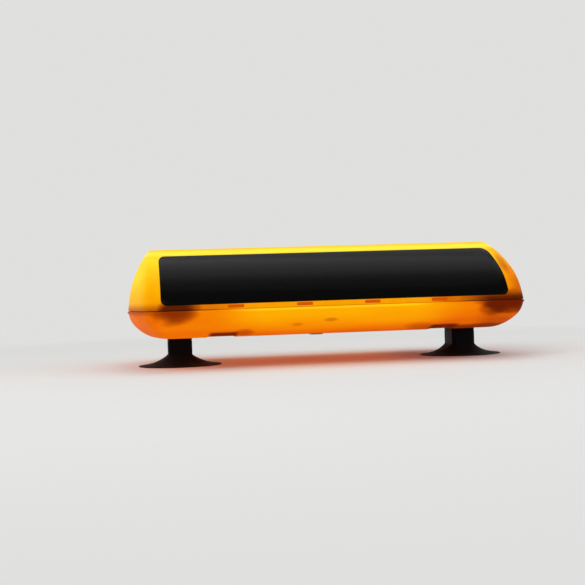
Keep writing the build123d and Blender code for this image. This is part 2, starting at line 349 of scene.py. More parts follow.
# %% Start and close a material
class Finish:
    """A material in the making, with the places that its patterns need."""

    def __init__(self, name):
        self.material = bpy.data.materials.new(name)
        self.material.use_nodes = True
        tree = self.material.node_tree
        tree.nodes.clear()
        self.start = Wire(tree, None)
        self.place = self.start.shader("TexCoord", output=3)
        split = self.start.shader("SeparateXYZ", Vector=self.place).socket.node
        self.x, self.y, self.z = (Wire(tree, out) * 1000.0 for out in split.outputs)

    def noise(self, scale, detail=2.0, stretch=(1.0, 1.0, 1.0)):
        """Noise from 0 to 1, with about this many waves in a metre."""
        mapped = self.start.shader("Mapping", Vector=self.place, Scale=stretch)
        return self.start.shader("TexNoise", Vector=mapped, Scale=scale, Detail=detail)

    def bump(self, height, distance, strength=0.5):
        """Normal from a height pattern, with its real depth in metres."""
        return self.start.shader("Bump", Height=height, Distance=distance, Strength=strength)

    def close(self, **inputs):
        """Puts the values on a Principled shader and gives back the material."""
        shader = self.start.shader("BsdfPrincipled", **{
            name: rgba(*value) if isinstance(value, tuple) else value
            for name, value in inputs.items()})
        output = self.start.tree.nodes.new("ShaderNodeOutputMaterial")
        self.start.tree.links.new(shader.socket, output.inputs["Surface"])
        return self.material

    def axis(self, name):
        """Place along an axis; bars round its letter take away the sign."""
        place = getattr(self, name.strip("|"))
        return place.size() if "|" in name else place

    def zones(self, *rows):
        """Sum of zones, each a share and then the axis and both ends of its soft steps."""
        total = 0.0
        for share, *steps in rows:
            for name, low, high in steps:
                share = self.axis(name).step(low, high) * share
            total = share + total
        return total

    def ovals(self, *rows):
        """Sum of soft uneven ovals: share, middle along X and Z, half width, half height."""
        uneven = self.noise(55.0, 3.0, (0.6, 0.6, 1.6)) - 0.5
        total = 0.0
        for share, x, z, half_width, half_height in rows:
            across = (self.x - x) / half_width + uneven * 0.4
            up = (self.z - z) / half_height + uneven * 0.6
            total = (across * across + up * up).step(1.0, 0.0) * share + total
        return total


# %% [markdown]
# The whole sign is lit from inside, so its two plastics glow. The light of three lamps is
# uneven: the hood is yellow near the lamps and turns to orange towards its ridge, its ends and
# the seam, and the pan is amber because little light reaches it. That glow, with its light and
# shade, is painted into the emission colour. A glowing wall would look like paper with its
# emission alone, so the base colour under it still answers the room's light, and the emission
# only adds what is missing.

# %% Colours of the lit plastics
# columns of a ramp: place on it and colour
HOOD_RAMP = [(0.0, (243, 222, 24)), (0.33, (240, 180, 0)),
             (0.66, (230, 128, 0)), (1.0, (184, 76, 0))]
PAN_RAMP = [(0.0, (244, 172, 2)), (0.3, (240, 144, 0)), (0.6, (228, 104, 0)),
            (0.82, (188, 70, 0)), (1.0, (116, 32, 0))]
# painted shadow colours, and painted highlight colours for the hood's crest and the pan's rim
HOOD_SHADOW, HOOD_CREST_HIGHLIGHT = (66, 17, 0), (255, 246, 72)
PAN_SHADOW, PAN_RIM_HIGHLIGHT = (92, 19, 0), (248, 204, 20)
print("stops of the ramps", len(HOOD_RAMP), len(PAN_RAMP))

# %% [markdown]
# The hood's plastic is polycarbonate, dyed yellow in the mass. Its bump is in two parts: long
# shallow waves where the sheet cooled, and a fine grain. One value adds up the painted dimming
# of the glow: the lower hood, its ends, the ridge and the skirt. A ramp of four colours turns it
# from yellow to deep orange. Painted shadows darken the wall in patches near both ends, and a
# painted highlight brightens a band along the crest. The tables give every place in
# millimetres of the frame.

# %% Plastics of the hood and the pan
# columns: share, then for each soft step its axis and where it is 0 and 1
# painted dimming of the hood's glow: lower down, at both ends, on the ridge and along the skirt
HOOD_DIMMING = [
    (0.28, ("x", -226, -208), ("z", 130, 100)),
    (0.36, ("z", 112, 72)),
    (-0.14, ("z", 112, 72), ("x", -226, -204)),
    (0.30, ("x", 192, 210), ("z", 139, 126)),
    (0.10, ("x", 200, 228)),
    (0.24, ("x", 200, 228), ("z", 101, 84)),
    (0.16, ("z", 138.5, 141.5)),
    (0.32, ("z", 84, 75), ("x", -98, -145), ("x", -207, -180)),
    (0.40, ("z", 84, 75), ("x", 96, 126)),
]
# painted shade just above the seam towards both ends
HOOD_SEAM_SHADE = [
    (0.48, ("z", 79, 68.5), ("x", -165, -205)),
    (1.0, ("z", 82, 71), ("x", 138, 180)),
]
# painted dimming of the pan's glow towards its ends and along its low right side
PAN_DIMMING = [
    (0.42, ("x", -80, -152)),
    (0.44, ("x", 85, 160)),
    (0.16, ("x", 155, 185)),
    (0.15, ("x", -192, -222)),
    (0.25, ("z", 43, 38), ("|y|", 34, 62), ("x", 115, 140), ("x", 205, 180)),
]
# painted dimming that grows towards the flat bottom, with less of it at the ends
PAN_LOW = [(0.68,), (-0.54, ("x", -80, -152)), (-0.34, ("x", 125, 160))]
# painted shade at the left end, just under the seam
PAN_END_SHADE = (0.25, ("z", 62, 67), ("x", -200, -222))
# painted shade in the finger recesses and on the wall just above them
PAN_RECESS_SHADE = (1.0, ("|x|", 149, 141), ("|x|", 111, 119), ("|y|", 40, 46), ("z", 43.5, 39))
# painted highlight along the middle of the pan's rim
PAN_LIT_RIM = (0.85, ("z", 64.8, 66.4), ("x", -130, -85), ("x", 112, 80))
# columns: share, middle along X and Z, half width, half height
# painted shadows on the pan, in patches
PAN_SHADOW_OVALS = [
    (0.74, -186, 66, 31, 15.5), (1.0, 203, 68, 47, 17.5), (0.4, 179, 58.5, 20, 10),
    (0.2, -47, 48, 8, 3), (0.3, -9, 52.5, 10, 3), (0.3, -106, 41, 15, 5),
    (0.2, 100, 41, 24, 6.5),
]


def hood_finish():
    """Lit yellow plastic of the hood."""
    f = Finish("lit_hood_plastic")
    waves = f.noise(24.0, 1.0)
    grain = f.noise(900.0, 2.0)
    painted_dimming = f.zones(*HOOD_DIMMING) + f.noise(70.0, 3.0) * 0.22 - 0.05
    # painted shade on the front of the right end, high up
    corner = f.ovals((0.26, 206, 111, 6, 15)) * f.y.step(-40.0, -70.0)
    shadows = f.ovals((1.0, -180, 70.5, 28, 14)) + f.zones(*HOOD_SEAM_SHADE) + corner
    glow = (painted_dimming + shadows * 0.6).ramp(HOOD_RAMP)
    # painted highlight in a band along the crest
    crest_highlight = f.zones((1.0, ("z", 131.5, 135), ("z", 140.5, 136))) * (waves * 0.4 + 0.35)
    skin = (grain * 0.3).mix((104, 66, 0), (114, 76, 2))
    return f.close(
        # painted shade also darkens the base colour
        Base_Color=shadows.mix(skin, (64, 20, 0)),
        Roughness=0.34 + waves * 0.12 + grain * 0.06, Specular_IOR_Level=0.015,
        Normal=f.bump(waves * 0.8 + grain * 0.05, 0.0012, 0.4),
        Emission_Color=crest_highlight.mix(shadows.mix(glow, HOOD_SHADOW), HOOD_CREST_HIGHLIGHT),
        Emission_Strength=1.0)


def pan_finish():
    """Lit amber plastic of the pan, darker towards its ends and its flat bottom."""
    f = Finish("lit_pan_plastic")
    waves = f.noise(20.0, 1.5)
    grain = f.noise(900.0, 2.0)
    streaks = f.noise(34.0, 3.0, (0.35, 1.0, 2.2))
    fall = f.start.math("MAXIMUM", (66.0 - f.z) / 30.0, 0.0)
    # painted dimming of the glow, with random streaks
    painted_dimming = f.zones(*PAN_DIMMING) + fall * fall * f.zones(*PAN_LOW) + streaks * 0.26 - 0.07
    # painted shade in the finger recesses, darkest where they are deepest
    recesses = f.zones(PAN_RECESS_SHADE) * (f.z.step(35.5, 38.8) * 0.5 + 0.45)
    # painted shadows in patches
    shadows = f.ovals(*PAN_SHADOW_OVALS) + f.zones(PAN_END_SHADE) + recesses
    glow = (painted_dimming + shadows * 0.5).ramp(PAN_RAMP)
    skin = (waves * 0.4).mix((94, 48, 0), (104, 56, 2))
    return f.close(
        # painted shade darkens the base colour too
        Base_Color=shadows.mix(skin, (60, 20, 0)),
        Roughness=0.38 + waves * 0.12 + grain * 0.06, Specular_IOR_Level=0.015,
        Normal=f.bump(waves * 0.8 + grain * 0.06, 0.0012, 0.4),
        # painted highlight along the rim
        Emission_Color=f.zones(PAN_LIT_RIM).mix(shadows.mix(glow, PAN_SHADOW), PAN_RIM_HIGHLIGHT),
        Emission_Strength=1.0)


def hook_finish():
    """Thick snap hooks, which pass less light: a deep orange glow is painted on them, dimmer lower
    down.
    """
    f = Finish("lit_hook_plastic")
    waves = f.noise(60.0, 1.0)
    grain = f.noise(900.0, 2.0)
    return f.close(
        Base_Color=(waves * 0.5).mix((84, 36, 2), (96, 44, 4)),
        Roughness=0.40 + grain * 0.08, Specular_IOR_Level=0.1,
        Normal=f.bump(waves + grain * 0.1, 0.0006, 0.4),
        # painted glow, dimmer lower down
        Emission_Color=f.z.step(76.0, 60.0).mix((204, 84, 0), (160, 56, 0)),
        Emission_Strength=1.0)


hood_plastic = hood_finish()
pan_plastic = pan_finish()
hook_plastic = hook_finish()
print("lit plastics", hood_plastic.name, pan_plastic.name, hook_plastic.name)

# %% [markdown]
# The panels are acrylic, printed black on the back and left blank here. The photograph shows
# them black with hardly a reflection, so their gloss is kept low. Acrylic is nearly flat, so
# its waves are very long, and a little dust and a few wiping marks break up what it reflects.

# %% Black finishes
def panel_finish():
    """Black panel with a trace of dust."""
    f = Finish("gloss_black_panel")
    waves = f.noise(9.0, 1.0)
    dust = f.noise(260.0, 4.0).step(0.62, 0.82)
    wipes = f.noise(38.0, 2.0, (1.0, 1.0, 9.0)).step(0.45, 0.75)
    return f.close(
        Base_Color=(dust * 0.6).mix((7, 6, 6), (26, 24, 21)),
        Roughness=0.14 + dust * 0.18 + wipes * 0.08, Specular_IOR_Level=0.02,
        Normal=f.bump(waves + dust * 0.01, 0.0010, 0.35))


def dark_finish(name, colour, worn, roughness, grain_size, depth, gloss=0.35, lit=None):
    """Dark moulded rubber or nylon with a grain, rubbed lighter in places."""
    f = Finish(name)
    grain = f.noise(grain_size, 3.0)
    rubbed = f.noise(70.0, 3.0).step(0.45, 0.80)
    # a lit function adds a painted glow to the emission
    light = lit(f) if lit else {}
    return f.close(
        Base_Color=(rubbed * 0.7).mix(colour, worn),
        Roughness=roughness + grain * 0.12 - rubbed * 0.08,
        Specular_IOR_Level=gloss,
        Normal=f.bump(grain, depth, 0.5), **light)


def seal_light(f):
    """Painted glow of the lamps through the amber rubber high up, fading to dark near the ends."""
    lit = f.zones((1.0, ("x", -165, -105), ("x", 160, 105), ("z", 60, 66)))
    return {"Emission_Color": lit.mix((20, 4, 0), (218, 124, 2)),
            "Emission_Strength": 1.0}


panel_black = panel_finish()
# columns: name, colour, rubbed colour, roughness, waves of the grain in a metre, its depth, gloss
seal_rubber = dark_finish("seal_rubber", (58, 26, 8), (84, 42, 14), 0.62, 700.0, 0.0003, 0.2,
                          seal_light)
foot_rubber = dark_finish("boot_rubber", (9, 9, 10), (20, 20, 20), 0.68, 620.0, 0.0004, 0.12)
foot_plastic = dark_finish("post_plastic", (6, 6, 7), (12, 12, 13), 0.48, 1100.0, 0.0002, 0.06)
gland_black = dark_finish("gland_nylon", (19, 19, 20), (34, 34, 35), 0.40, 900.0, 0.0002)
ferrite = dark_finish("ferrite", (44, 43, 44), (66, 63, 62), 0.55, 480.0, 0.0004)
print("dark finishes", panel_black.name, seal_rubber.name, foot_rubber.name, ferrite.name)

# %% [markdown]
# Metals and the light plastics inside follow. Zinc plating shows soft patches, nickel is even
# with fine lines, and brass darkens where fingers touched it. The tray and the holders are
# white and cream plastics lit by the lamps, and that light is painted on them as a faint glow
# nearest to the lamps.

# %% Metals, light plastics and glass
LAMP_STEP = 118.0


def metal_finish(name, colour, dull, roughness, patch_size, stretch=(1.0, 1.0, 1.0)):
    """Metal with dull patches and fine drawn lines."""
    f = Finish(name)
    patches = f.noise(patch_size, 3.0).step(0.35, 0.70)
    lines = f.noise(420.0, 2.0, stretch)
    return f.close(
        Base_Color=(patches * 0.8).mix(colour, dull),
        Metallic=1.0,
        Roughness=roughness + patches * 0.14 + lines * 0.10,
        Normal=f.bump(lines + patches * 0.4, 0.0002, 0.4))


def lamp_glow(f, reach):
    """From 0 to 1, how near a point lies to one of the three lamps, seen from its side."""
    aside = [(f.x - lamp_x) / reach for lamp_x in (-LAMP_STEP, 0.0, LAMP_STEP)]
    return (sum(1 / (1 + across * across) for across in aside) * 0.8).step(0.0, 1.2)


def pale_finish(name, colour, marked, light, grain_size):
    """Light plastic under the lamps, with a painted glow of lamp light nearest to them."""
    f = Finish(name)
    grain = f.noise(grain_size, 2.0)
    marks = f.noise(60.0, 3.0).step(0.50, 0.85)
    # painted pool of lamp light, strongest beside each lamp and near the middle of the depth
    near = lamp_glow(f, 40.0) * f.y.size().step(110.0, 10.0)
    return f.close(
        Base_Color=(marks * 0.2).mix(colour, marked),
        Roughness=0.42 + grain * 0.14 + marks * 0.08,
        Normal=f.bump(grain, 0.0003, 0.4),
        Emission_Color=near.mix((0, 0, 0), light), Emission_Strength=1.0)


def glass_finish():
    """Clear glass of the lamps, faintly greyed by use."""
    f = Finish("lamp_glass")
    haze = f.noise(140.0, 2.0)
    return f.close(
        Base_Color=(haze * 0.4).mix((255, 252, 244), (232, 222, 204)),
        Roughness=0.02 + haze * 0.05,
        Normal=f.bump(f.noise(90.0, 1.0), 0.0002, 0.3),
        IOR=1.47, Transmission_Weight=1.0,
        Emission_Color=(255, 206, 120), Emission_Strength=0.25)


def filament_finish():
    """Tungsten wire at work."""
    f = Finish("glowing_filament")
    heat = f.noise(400.0, 1.0)
    return f.close(
        Base_Color=(60, 50, 44), Roughness=0.5 + heat * 0.2,
        Normal=f.bump(heat, 0.0001, 0.3),
        Emission_Color=heat.mix((255, 196, 96), (255, 226, 150)), Emission_Strength=6.0)


# columns: name, colour, dull colour, roughness, waves of the patches in a metre, line stretch
zinc_steel = metal_finish("zinc_steel", (196, 198, 202), (150, 153, 158), 0.30, 55.0)
magnet_steel = metal_finish("magnet_nickel", (206, 202, 192), (168, 163, 152), 0.24, 90.0)
cap_metal = metal_finish("cap_nickel", (212, 208, 200), (164, 158, 148), 0.22, 240.0,
                         (8.0, 1.0, 1.0))
screw_steel = metal_finish("screw_steel", (186, 187, 190), (128, 128, 132), 0.32, 300.0)
brass = metal_finish("blade_brass", (214, 174, 92), (150, 112, 52), 0.28, 160.0, (1.0, 1.0, 6.0))
# columns: name, colour, colour of the marks, light at the lamps, waves of the grain in a metre
tray_white = pale_finish("tray_white", (232, 230, 222), (206, 202, 190), (150, 132, 84), 700.0)
holder_plastic = pale_finish("holder_cream", (222, 210, 182), (190, 174, 142), (110, 90, 48), 800.0)
block_plastic = pale_finish("block_cream", (214, 208, 194), (184, 176, 158), (70, 58, 34), 800.0)
bulb_glass = glass_finish()
tungsten = filament_finish()
print("materials in all", len(bpy.data.materials))

# %% [markdown]
# The hood is one moulding with a 3 mm wall. Its levels run up the inside, round the lower edge
# and over the crown outside. Offsetting each row square to the wall, and not only sideways,
# keeps the wall equally thick from the steep skirt to the almost flat top.

# %% Levels of the hood
STEEPEST = math.radians(89.9)
# columns: offset from the face, height over the edge, in millimetres
HOOD_EDGE = ((3.0, 0.6), (2.85, 0.2), (2.5, 0.0), (0.5, 0.0), (0.15, 0.15), (0.0, 0.5))


def hood_level(inset, rise, angle, offset):
    """Front path of the hood at one profile row, moved inwards by an offset."""
    end_angle = math.atan(HOOD_END_RATIO * math.tan(min(angle, STEEPEST)))
    bulge = END_BULGE * (HALF_DEPTH - inset) / HALF_DEPTH - offset * math.cos(end_angle)
    half_depth = HALF_DEPTH - inset - offset * math.cos(angle)
    z = HOOD_Z + rise - offset * math.sin(angle)
    return front_path(STRAIGHT + bulge, half_depth, bulge, z)


def hood_edge(offset, height):
    """Front path on the lower edge of the hood, at an offset from its face."""
    lean = math.radians(HOOD_ARCS[0][1])
    rise = height * MM + offset * MM * math.sin(lean)
    return hood_level(rise * math.tan(lean), rise, lean, offset * MM)


inside = [hood_level(*row, WALL) for row in reversed(hood_rows[1:])]
edge = [hood_edge(*place) for place in HOOD_EDGE]
outside = [hood_level(*row, 0.0) for row in hood_rows[1:]]
hood = shell_object("hood", inside + edge + outside)
print("hood before its cuts", len(hood.data.polygons), "faces")

# %% [markdown]
# Each face panel lies in a shallow recess of the hood, so that its face is almost flush. The
# panel is bent to the same profile. It is built row by row, and a row near a rounded corner is
# shorter. Its levels are sheets at different depths: the front sheet is drawn in by half a
# millimetre, which makes the fine bevel that catches light round the panel. The same slab,
# grown by a small gap, is the cutter for the recess.

# %% Slab of a panel
# the face ends a little lower than the solid, for the yellow band that shows above it
PANEL_DROP = 0.8 * MM
panel_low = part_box("front_panel")[0].z - HOOD_Z
panel_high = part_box("front_panel")[1].z - HOOD_Z - PANEL_DROP
PANEL_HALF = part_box("front_panel")[1].x
PANEL_CORNER = 7.0 * MM
PANEL_DEEP = 1.2
PANEL_GAP = 0.3
CORNER_PARTS = 8
MIDDLE_PARTS = 16
HALF_PARTS = 20
# columns: growth and depth in millimetres
PANEL_SHEETS = ((-0.5, -0.4), (-0.15, -0.3), (0.0, 0.0), (0.0, PANEL_DEEP))
CUTTER_SHEETS = ((PANEL_GAP, -6.0), (PANEL_GAP, PANEL_DEEP))


def corner_rows(low, high, radius):
    """Heights of a rounded rectangle, close together in its corners, with the inset of each."""
    rows = []
    for step in range(CORNER_PARTS + 1):
        angle = math.pi / 2 * step / CORNER_PARTS
        rows.append((low + radius * (1 - math.cos(angle)), radius * (1 - math.sin(angle))))
    plain = high - low - 2 * radius
    middle = [(low + radius + plain * step / MIDDLE_PARTS, 0.0) for step in range(1, MIDDLE_PARTS)]
    return rows + middle + [(low + high - height, inset) for height, inset in reversed(rows)]


def panel_sheet(bm, grow, offset, side):
    """Grid of points of one sheet, row by row from below."""
    rows = corner_rows(panel_low - grow, panel_high + grow, PANEL_CORNER + grow)
    sheet = []
    for height, inset in rows:
        back, angle = profile_at(HOOD_ARCS, height)
        y = HALF_DEPTH - back - offset * math.cos(angle)
        z = HOOD_Z + height - offset * math.sin(angle)
        half = PANEL_HALF + grow - inset
        sheet.append([bm.verts.new((side * half * mark / HALF_PARTS, -side * y, z))
                      for mark in range(-HALF_PARTS, HALF_PARTS + 1)])
    return sheet


def panel_object(name, sheets, side):
    """Closed slab through sheets given as growth and depth in millimetres."""
    bm = bmesh.new()
    grids = [panel_sheet(bm, grow * MM, offset * MM, side) for grow, offset in sheets]
    for grid in (grids[0], grids[-1]):
        for low, high in zip(grid, grid[1:]):
            for first in range(2 * HALF_PARTS):
                bm.faces.new((low[first], low[first + 1], high[first + 1], high[first]))
    rims = [grid[0] + [row[-1] for row in grid[1:-1]] + grid[-1][::-1]
            + [row[0] for row in grid[-2:0:-1]] for grid in grids]
    for first, second in zip(rims, rims[1:]):
        bridge(bm, first, second)
    return as_object(name, bm)


for node, side in (("front_panel", 1), ("rear_panel", -1)):
    panel = panel_object(node + "_face", PANEL_SHEETS, side)
    finish_piece(panel, panel_black, "hood", [node])

# %% [markdown]
# A Boolean modifier then takes the two recesses and the eight hook windows out of the hood,
# as slides in the mould would. The windows are bars with rounded corners, long enough to pass
# through both skirts at once.

# %% Cut recesses and windows
HOOKS = 4
HOOK_STEP = 78.0
WINDOW_WIDTH, WINDOW_LENGTH, WINDOW_HEIGHT = 18.5, 300.0, 3.6
WINDOW_RISE = 2.8
WINDOW_CORNER = 0.8
WINDOW_PARTS = 5


def window_bar(bm, x, z):
    """Bar along Y with rounded corners in its cross section."""
    rim = []
    for index, (side, up) in enumerate(((1, 1), (-1, 1), (-1, -1), (1, -1))):
        corner_x = x + side * (WINDOW_WIDTH / 2 - WINDOW_CORNER)
        corner_z = z + up * (WINDOW_HEIGHT / 2 - WINDOW_CORNER)
        for step in range(WINDOW_PARTS + 1):
            angle = math.pi / 2 * (index + step / WINDOW_PARTS)
            rim.append((corner_x + WINDOW_CORNER * math.cos(angle),
                        corner_z + WINDOW_CORNER * math.sin(angle)))
    prism(bm, *([(x, y, z) for x, z in rim] for y in (-WINDOW_LENGTH / 2, WINDOW_LENGTH / 2)))


def cut(obj, cutter):
    """Takes a cutter out of a piece for good."""
    modifier = obj.modifiers.new("cut", "BOOLEAN")
    modifier.object = cutter
    modifier.solver = "EXACT"
    keep_result(obj)
    bpy.data.objects.remove(cutter)


bars = bmesh.new()
for index in range(HOOKS):
    window_bar(bars, HOOK_STEP * (index - (HOOKS - 1) / 2), HOOD_Z / MM + WINDOW_RISE)
cut(hood, as_object("window_bars", bars))
for side in (1, -1):
    cut(hood, panel_object("recess", CUTTER_SHEETS, side))
finish_piece(hood, hood_plastic, "hood", ["hood_shell"])

# %% [markdown]
# The pan is the tray below the seam. It narrows quickly to a flat bottom and stands a little
# proud of the hood with its rim. Four finger recesses are pressed into its underside, where
# hands go to lift the sign off a roof. They need no cutter: the points of the mesh are lifted
# to the arch of the recess, inside and outside alike, so the wall stays whole.

# %% Build the pan
RIM_THICK = 2.0
RECESS_DEPTH = 4.2 * MM
RECESS_INNER_Y = 46.0 * MM
RECESS_RAMP = 5.0 * MM
RECESS_RADIUS = (RECESS_HALF ** 2 + RECESS_DEPTH ** 2) / (2 * RECESS_DEPTH)
FLOOR_START = 30.0 * MM
FLOOR_STEPS = (0, 1, 2, 4, 6)
# columns: inset from the seam's outline and depth under the seam, in millimetres
RIM_ROWS = ((6.0, RIM_THICK), (6.0, 0.3), (5.7, 0.0), (-0.5, 0.0), (-0.85, 0.15), (-1.0, 0.5),
            (-1.0, 1.6), (-0.85, 1.9), (-0.5, RIM_THICK))


def scaled_path(half_length, half_depth, z):
    """Front path whose bulge at the ends keeps its share of the depth."""
    return front_path(half_length, half_depth, END_BULGE * half_depth / HALF_DEPTH, z)


def pan_level(inset, drop, angle, offset):
    """Front path of the pan at one profile row, moved inwards by an offset."""
    end_angle = math.atan(PAN_END_RATIO * math.tan(min(angle, STEEPEST)))
    return scaled_path(HALF_LENGTH - PAN_END_RATIO * inset - offset * math.cos(end_angle),
                       HALF_DEPTH - inset - offset * math.cos(angle),
                       SEAM_Z - drop + offset * math.sin(angle))


def bottom_level(half_depth, z):
    """Front path on the flat bottom or floor of the pan."""
    return scaled_path(HALF_LENGTH - PAN_END_RATIO * (HALF_DEPTH - half_depth), half_depth, z)


def seam_level(inset, z):
    """Front path parallel to the seam's outline, at an inset in millimetres."""
    inset *= MM
    return front_path(HALF_LENGTH - inset, HALF_DEPTH - inset, END_BULGE - inset, z)


def recessed(path, wall):
    """The path with its points lifted to the arch of the finger recesses."""
    floor_z = PAN_Z + wall
    centre_z = PAN_Z + RECESS_DEPTH - RECESS_RADIUS
    lifted = []
    for place in path:
        aside = abs(place.x) - RECESS_X
        arch = centre_z + math.sqrt(max(0.0, (RECESS_RADIUS + wall) ** 2 - aside ** 2))
        share = (abs(place.y) - RECESS_INNER_Y + wall) / RECESS_RAMP
        share = math.sin(math.pi / 2 * min(1.0, max(0.0, share)))
        arch = floor_z + (arch - floor_z) * share
        lifted.append(Vector((place.x, place.y, max(place.z, arch))))
    return lifted


flat_half = HALF_DEPTH - pan_rows[-1][0]
print("flat bottom reaches", round(flat_half, 4))
flat_steps = [FLOOR_START] + [RECESS_INNER_Y + step * MM for step in FLOOR_STEPS]
flat_steps = [half for half in flat_steps if half < flat_half - 1 * MM]
wall_rows = [row for row in pan_rows if row[1] > RIM_THICK * MM]
inner = ([bottom_level(half, PAN_Z + WALL) for half in flat_steps]
         + [pan_level(*row, WALL) for row in reversed(wall_rows)])
rim = [seam_level(inset, SEAM_Z - drop * MM) for inset, drop in RIM_ROWS]
outer = ([pan_level(*row, 0.0) for row in wall_rows]
         + [bottom_level(half, PAN_Z) for half in reversed(flat_steps)])
pan = shell_object("pan", [recessed(path, WALL) for path in inner] + rim
                   + [recessed(path, 0.0) for path in outer])
finish_piece(pan, pan_plastic, "base", ["base_pan"])

# %% [markdown]
# What repeats is made with Geometry Nodes: a prototype is drawn once, and a small tree sets
# copies of it in a row, or in a ring, or sweeps a section along a line. The tree's inputs have
# names, such as how many copies and how far apart, and they are set before it is evaluated.
# Its result is taken as a plain mesh, so the finished piece carries no modifier, and the
# prototype is removed.

# %% Run a tree of Geometry Nodes
SOCKETS = {int: "NodeSocketInt", float: "NodeSocketFloat", tuple: "NodeSocketVector"}


def grow(name, inputs, build):
    """Plain mesh object made by a tree that build(start, wires) draws from its inputs."""
    tree = bpy.data.node_groups.new(name, "GeometryNodeTree")
    for label, value in inputs.items():
        kind = SOCKETS.get(type(value), "NodeSocketObject")
        tree.interface.new_socket(label, in_out="INPUT", socket_type=kind)
    tree.interface.new_socket("Geometry", in_out="OUTPUT", socket_type="NodeSocketGeometry")
    entry = tree.nodes.new("NodeGroupInput")
    start = Wire(tree, None)
    wires = {label: Wire(tree, entry.outputs[label]) for label in inputs}
    drawn = [label for label, value in inputs.items() if isinstance(value, bpy.types.Object)]
    for label in drawn:
        wires[label] = start.shape("ObjectInfo", output="Geometry", Object=wires[label])
    real = start.shape("RealizeInstances", Geometry=build(start, wires))
    tree.links.new(real.socket, tree.nodes.new("NodeGroupOutput").inputs[0])
    obj = new_object(name, bpy.data.meshes.new(name + "_start"))
    modifier = obj.modifiers.new(name, "NODES")
    modifier.node_group = tree
    for item in tree.interface.items_tree:
        if item.in_out == "INPUT":
            modifier[item.identifier] = inputs[item.name]
    keep_result(obj)
    for label in drawn:
        bpy.data.objects.remove(inputs[label])
    return obj


def copies(start, wires):
    """Tree of copies in a row, each turned about Z by one more turn than the one before."""
    line = start.shape("MeshLine", Count=wires["Count"], Start_Location=wires["First"],
                       Offset=wires["Step"])
    angle = start.shape("InputIndex") * wires["Turn"]
    there = start.shader("VectorRotate", {"rotation_type": "Z_AXIS"},
                         Vector=start.shape("InputPosition"), Angle=angle)
    points = start.shape("SetPosition", Geometry=line, Position=there)
    turn = start.shader("CombineXYZ", Z=angle)
    return start.shape("InstanceOnPoints", Points=points, Instance=wires["Prototype"],
                       Rotation=turn)


def both_sides(start, wires):
    """Tree of copies in a row and of the same row turned round to the other side."""
    row = copies(start, wires)
    other = start.shape("Transform", Geometry=row, Rotation=(0.0, 0.0, math.pi))
    both = start.shape("JoinGeometry", Geometry=row)
    both.tree.links.new(other.socket, both.socket.node.inputs[0])
    return both


def set_out(name, prototype, count, step, first=None, turn=0.0, build=copies):
    """Copies of a prototype, a step apart in millimetres and centred unless first is given."""
    first = -step * (count - 1) / 2 if first is None else first
    inputs = {"Prototype": prototype, "Count": count, "Turn": turn,
              "First": (first * MM, 0.0, 0.0), "Step": (step * MM, 0.0, 0.0)}
    return grow(name, inputs, build)


def row_piece(name, prototype, count, step, material, slot, nodes=(), **more):
    """Row of copies as a finished piece of the base."""
    row = set_out(name, prototype, count, step, **more)
    return finish_piece(row, material, "base", nodes)


print("inputs of a tree can be", [kind.__name__ for kind in SOCKETS], "or an object")

# %% [markdown]
# Small mouldings and turned parts are stacks of rings, given by how far they reach at each
# angle and by their height, in millimetres. A plain number is a circle, and two functions give
# a rounded block and a hexagon. A stack can change from one to another on its way up, which is
# how the rubber boot turns from a round lip into a square neck.

# %% Stacks of rings
def pad(half_x, half_y, corner):
    """Reach of a rectangle with round corners."""
    def reach(angle):
        c, s = abs(math.cos(angle)), abs(math.sin(angle))
        if half_x * s <= (half_y - corner) * c:
            return half_x / c
        if half_y * c <= (half_x - corner) * s:
            return half_y / s
        x, y = half_x - corner, half_y - corner
        along = x * c + y * s
        return along + math.sqrt(max(0.0, corner ** 2 - (x * x + y * y - along ** 2)))
    return reach


def hexagon(half_across, corner_radius):
    """Reach of a hexagon whose corners are turned off at a radius."""
    def reach(angle):
        aside = (angle + math.pi / 6) % (math.pi / 3) - math.pi / 6
        return min(half_across / math.cos(aside), corner_radius)
    return reach


def at(x, y, z):
    """Shift by millimetres."""
    return Matrix.Translation(Vector((x, y, z)) * MM)


def turned(name, rows, steps=64, places=(Matrix(),), hollow=False):
    """New object of closed skins through rings, one skin at each place."""
    bm = bmesh.new()
    for place in places:
        rings = []
        for reach, z in rows:
            rings.append([])
            for index in range(steps):
                angle = 2 * math.pi * index / steps
                r = reach(angle) if callable(reach) else reach
                point = Vector((r * math.cos(angle), r * math.sin(angle), z)) * MM
                rings[-1].append(bm.verts.new(place @ point))
        for first, second in zip(rings, rings[1:]):
            bridge(bm, first, second)
        if hollow:
            bridge(bm, rings[-1], rings[0])
        else:
            bm.faces.new(rings[0])
            bm.faces.new(rings[-1])
    return as_object(name, bm)


def screw(name, place, radius, height):
    """Head of a hexagon socket screw."""
    socket = hexagon(radius * 0.45, radius * 0.51)
    return turned(name, [
        (radius, 0), (radius, height * 0.75), (radius * 0.93, height), (radius * 0.62, height),
        (socket, height * 0.92), (socket, height * 0.35)], 36, [place])


# %% [markdown]
# The snap hooks stand on the rim of the pan and lean with the skirt of the hood. Each is a
# tapered tongue with a nose that would catch in its window, drawn once and set out four times
# along both long sides.

# %% Snap hooks
HOOK_HALF_WIDTH = 11.0
HOOK_BEVEL = 0.4 * MM
HOOK_LEAN = math.tan(math.radians(24.3))


